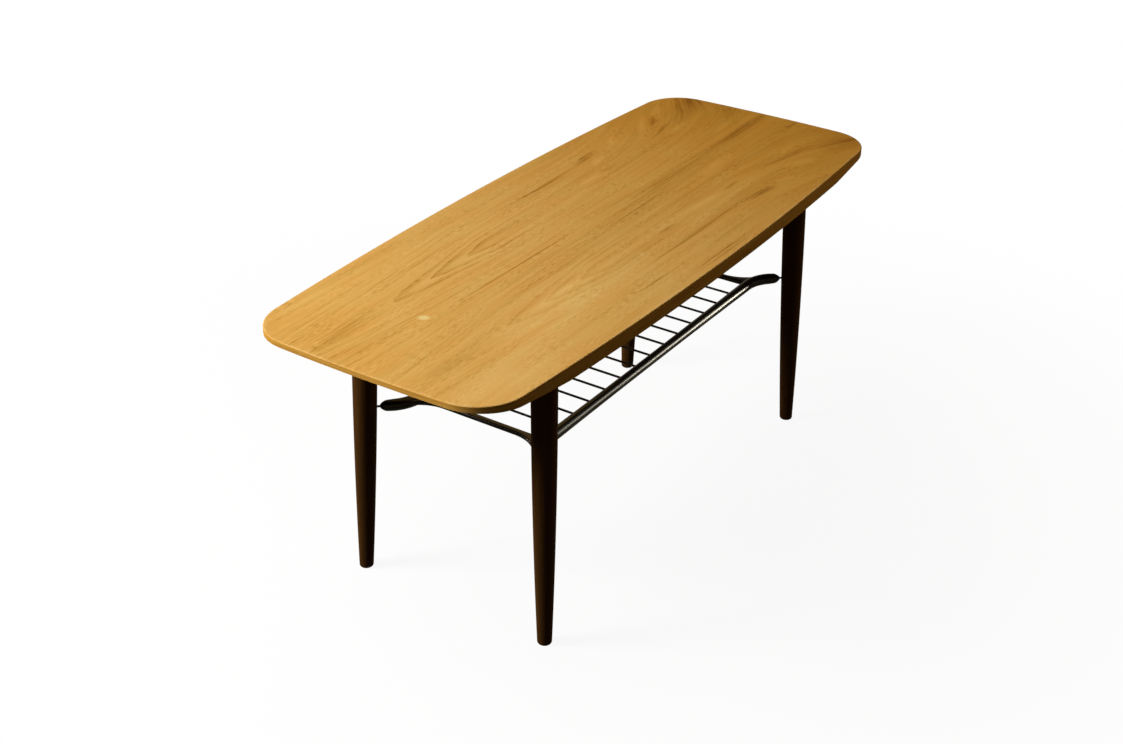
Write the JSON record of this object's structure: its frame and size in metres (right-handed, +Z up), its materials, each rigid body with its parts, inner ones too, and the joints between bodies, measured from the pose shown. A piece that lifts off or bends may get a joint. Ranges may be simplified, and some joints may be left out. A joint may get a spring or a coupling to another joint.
{
  "type": "magazine table with rack",
  "caption": "Low coffee table with a bowed, veneered top, slender splayed turned legs and a slatted magazine rack hung between the legs on pins.",
  "frame": {"origin": "on the floor, under the middle of the top", "axes": "+X along the table's length, -Y is the front long side, +Z up"},
  "size_m": [1.1, 0.44, 0.47],
  "materials": {
    "teak_veneer": "oiled teak veneer, satin",
    "backing_veneer": "plain backing veneer, matt",
    "core_board": "raw wood board",
    "teak_edge": "solid teak edge band, satin",
    "stained_beech_leg": "beech stained black-brown, satin lacquer",
    "lacquered_beech_rack": "beech stained black-brown, gloss lacquer",
    "black_wire": "black lacquered steel rod",
    "black_pin": "blackened steel pin",
    "zinc_plated_steel": "zinc plated steel"
  },
  "bodies": {
    "root": {"edge_band_back": "teak_edge", "edge_band_front": "teak_edge", "edge_band_left": "teak_edge", "edge_band_right": "teak_edge", "hanger_bolt_back_left": "zinc_plated_steel", "hanger_bolt_back_right": "zinc_plated_steel", "hanger_bolt_front_left": "zinc_plated_steel", "hanger_bolt_front_right": "zinc_plated_steel", "leg_back_left": "stained_beech_leg", "leg_back_right": "stained_beech_leg", "leg_front_left": "stained_beech_leg", "leg_front_right": "stained_beech_leg", "leg_plate_back_left": "zinc_plated_steel", "leg_plate_back_right": "zinc_plated_steel", "leg_plate_front_left": "zinc_plated_steel", "leg_plate_front_right": "zinc_plated_steel", "plate_screws_back_left": "zinc_plated_steel", "plate_screws_back_right": "zinc_plated_steel", "plate_screws_front_left": "zinc_plated_steel", "plate_screws_front_right": "zinc_plated_steel", "rack_end_rail_left": "lacquered_beech_rack", "rack_end_rail_right": "lacquered_beech_rack", "rack_pin_back_left": "black_pin", "rack_pin_back_right": "black_pin", "rack_pin_front_left": "black_pin", "rack_pin_front_right": "black_pin", "rack_rail_back": "lacquered_beech_rack", "rack_rail_front": "lacquered_beech_rack", "rack_rung_01": "black_wire", "rack_rung_02": "black_wire", "rack_rung_03": "black_wire", "rack_rung_04": "black_wire", "rack_rung_05": "black_wire", "rack_rung_06": "black_wire", "rack_rung_07": "black_wire", "rack_rung_08": "black_wire", "rack_rung_09": "black_wire", "rack_rung_10": "black_wire", "rack_rung_11": "black_wire", "rack_rung_12": "black_wire", "rack_rung_13": "black_wire", "top_core": "core_board", "top_veneer": "teak_veneer", "underside_veneer": "backing_veneer"}
  },
  "joints": []
}
